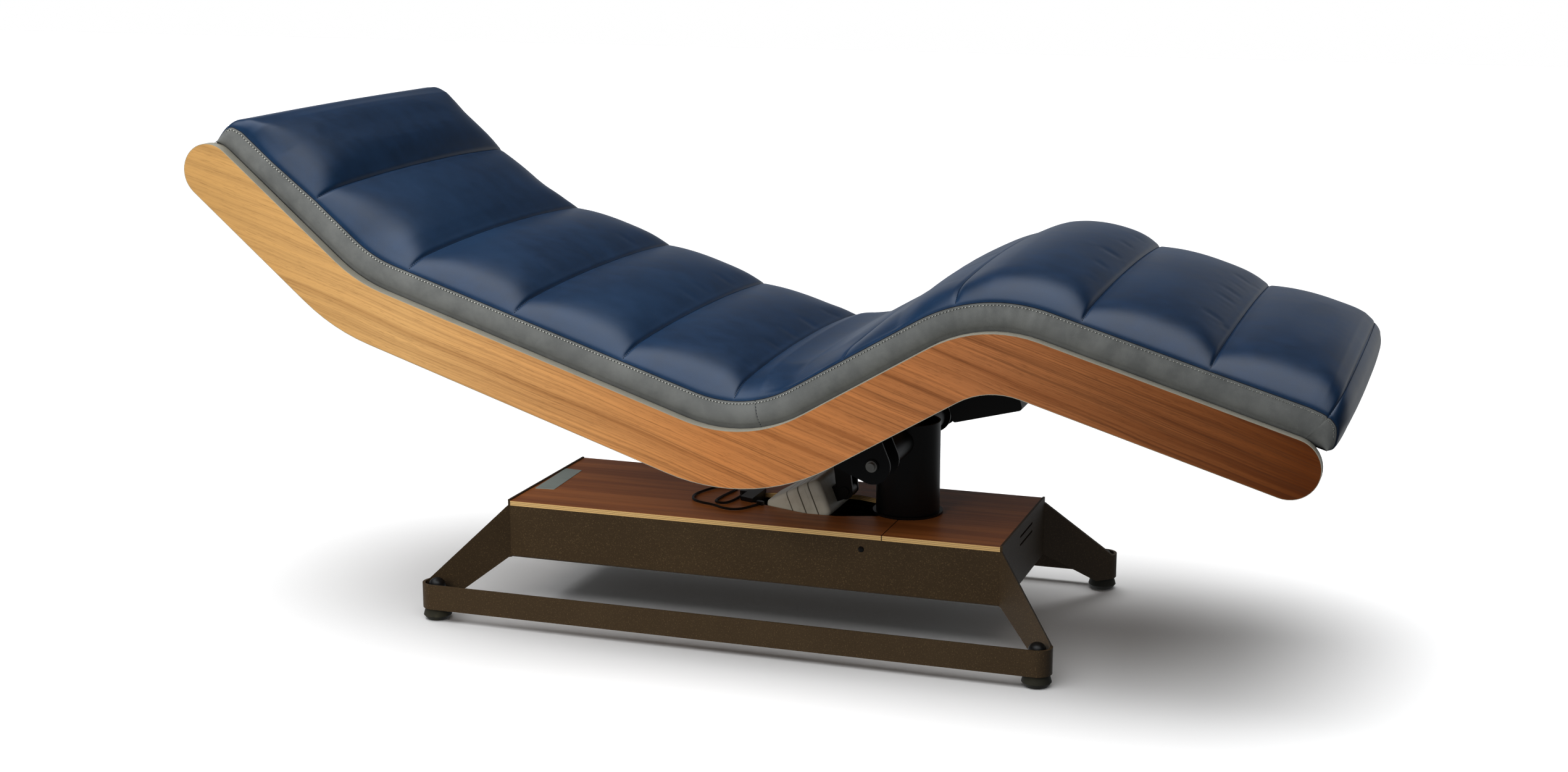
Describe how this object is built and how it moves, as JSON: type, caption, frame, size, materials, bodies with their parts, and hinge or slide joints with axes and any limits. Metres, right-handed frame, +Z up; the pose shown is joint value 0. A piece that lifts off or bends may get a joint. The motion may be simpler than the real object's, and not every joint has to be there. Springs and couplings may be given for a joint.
{
  "type": "spa treatment table",
  "caption": "Motor-tilted treatment lounger: a wavy channelled cushion between veneered side panels, on a steel column over a low box base with levelling feet.",
  "frame": {"origin": "on the floor, below the middle of the overall length and width", "axes": "+X along the lounger towards its foot end, +Y to the side without the cable loops, +Z up"},
  "size_m": [1.9902, 0.777, 0.9078],
  "materials": {
    "brown_powder_coat": "fine-textured dark brown powder coat",
    "black_plastic": "moulded black",
    "walnut_board": "walnut veneer with a light ply edge",
    "black_steel": "satin black",
    "bush_plastic": "plain nylon",
    "bright_steel": "zinc plated",
    "rod_chrome": "polished",
    "black_rubber": "matte",
    "cable_jacket": "satin jacket",
    "walnut": "satin lacquered walnut veneer, grain along the panel",
    "light_edge": "light grey edge band",
    "plywood": "plain plywood",
    "grey_plastic": "light grey moulding",
    "navy_leather": "navy top with a grey border, twin stitched seams"
  },
  "bodies": {
    "base": {"base_tray": "brown_powder_coat", "head_end_plate": "brown_powder_coat", "foot_end_plate": "brown_powder_coat", "side_plug": "black_plastic", "near_strap": "brown_powder_coat", "far_strap": "brown_powder_coat", "corner_bosses": "brown_powder_coat", "boss_caps": "black_plastic", "long_board": "walnut_board", "short_board": "walnut_board", "column": "black_steel", "column_ring": "black_steel", "bearing_tube": "black_steel", "pivot_bushes": "bush_plastic", "actuator_bracket": "black_steel", "lower_pin": "bright_steel", "cable_outlet": "black_plastic", "cable_clip": "black_plastic", "supply_cable": "cable_jacket"},
    "lounger": {"near_side_panel": "walnut", "far_side_panel": "walnut", "near_edge_band": "light_edge", "far_edge_band": "light_edge", "seat_shell": "plywood", "near_rail": "black_steel", "far_rail": "black_steel", "cross_tube_1": "black_steel", "cross_tube_2": "black_steel", "cross_tube_3": "black_steel", "cross_tube_4": "black_steel", "cross_tube_5": "black_steel", "panel_cleats": "black_steel", "panel_screws": "bright_steel", "near_inner_bracket": "black_steel", "near_outer_bracket": "black_steel", "far_inner_bracket": "black_steel", "far_outer_bracket": "black_steel", "pivot_shaft": "bright_steel", "pivot_washers": "bright_steel", "pivot_retainers": "bright_steel", "actuator_lugs": "black_steel", "upper_pin": "bright_steel", "control_box": "black_plastic", "box_hangers": "black_steel", "cushion": "navy_leather"},
    "actuator": {"actuator_clevis": "black_steel", "housing_cover": "grey_plastic", "housing_body": "grey_plastic", "actuator_tube": "black_steel"},
    "rod": {"actuator_rod": "rod_chrome"},
    "levelling_foot_1": {"foot_pad_1": "black_rubber", "foot_stem_1": "bright_steel"},
    "levelling_foot_2": {"foot_pad_2": "black_rubber", "foot_stem_2": "bright_steel"},
    "levelling_foot_3": {"foot_pad_3": "black_rubber", "foot_stem_3": "bright_steel"},
    "levelling_foot_4": {"foot_pad_4": "black_rubber", "foot_stem_4": "bright_steel"}
  },
  "joints": [
    {"name": "tilt", "type": "hinge", "parent": "base", "child": "lounger", "pos_m": [0.217, 0, 0.336], "axis": [0, -1, 0], "range_deg": [-6, 12]},
    {"name": "actuator_hinge", "type": "hinge", "parent": "lounger", "child": "actuator", "pos_m": [0.104, 0, 0.228], "axis": [0, -1, 0], "range_deg": [-18, 9]},
    {"name": "rod_slide", "type": "slide", "parent": "actuator", "child": "rod", "axis": [-0.9272, 0, -0.3746], "range_m": [-0.0075, 0.015]},
    {"name": "foot_1_slide", "type": "slide", "parent": "base", "child": "levelling_foot_1", "axis": [0, 0, -1], "range_m": [0, 0.01]},
    {"name": "foot_2_slide", "type": "slide", "parent": "base", "child": "levelling_foot_2", "axis": [0, 0, -1], "range_m": [0, 0.01]},
    {"name": "foot_3_slide", "type": "slide", "parent": "base", "child": "levelling_foot_3", "axis": [0, 0, -1], "range_m": [0, 0.01]},
    {"name": "foot_4_slide", "type": "slide", "parent": "base", "child": "levelling_foot_4", "axis": [0, 0, -1], "range_m": [0, 0.01]}
  ],
  "couplings": [
    {"joint": "actuator_hinge", "follows": "tilt", "ratio": -1.48},
    {"joint": "rod_slide", "follows": "tilt", "m_per_rad": 0.06798}
  ]
}
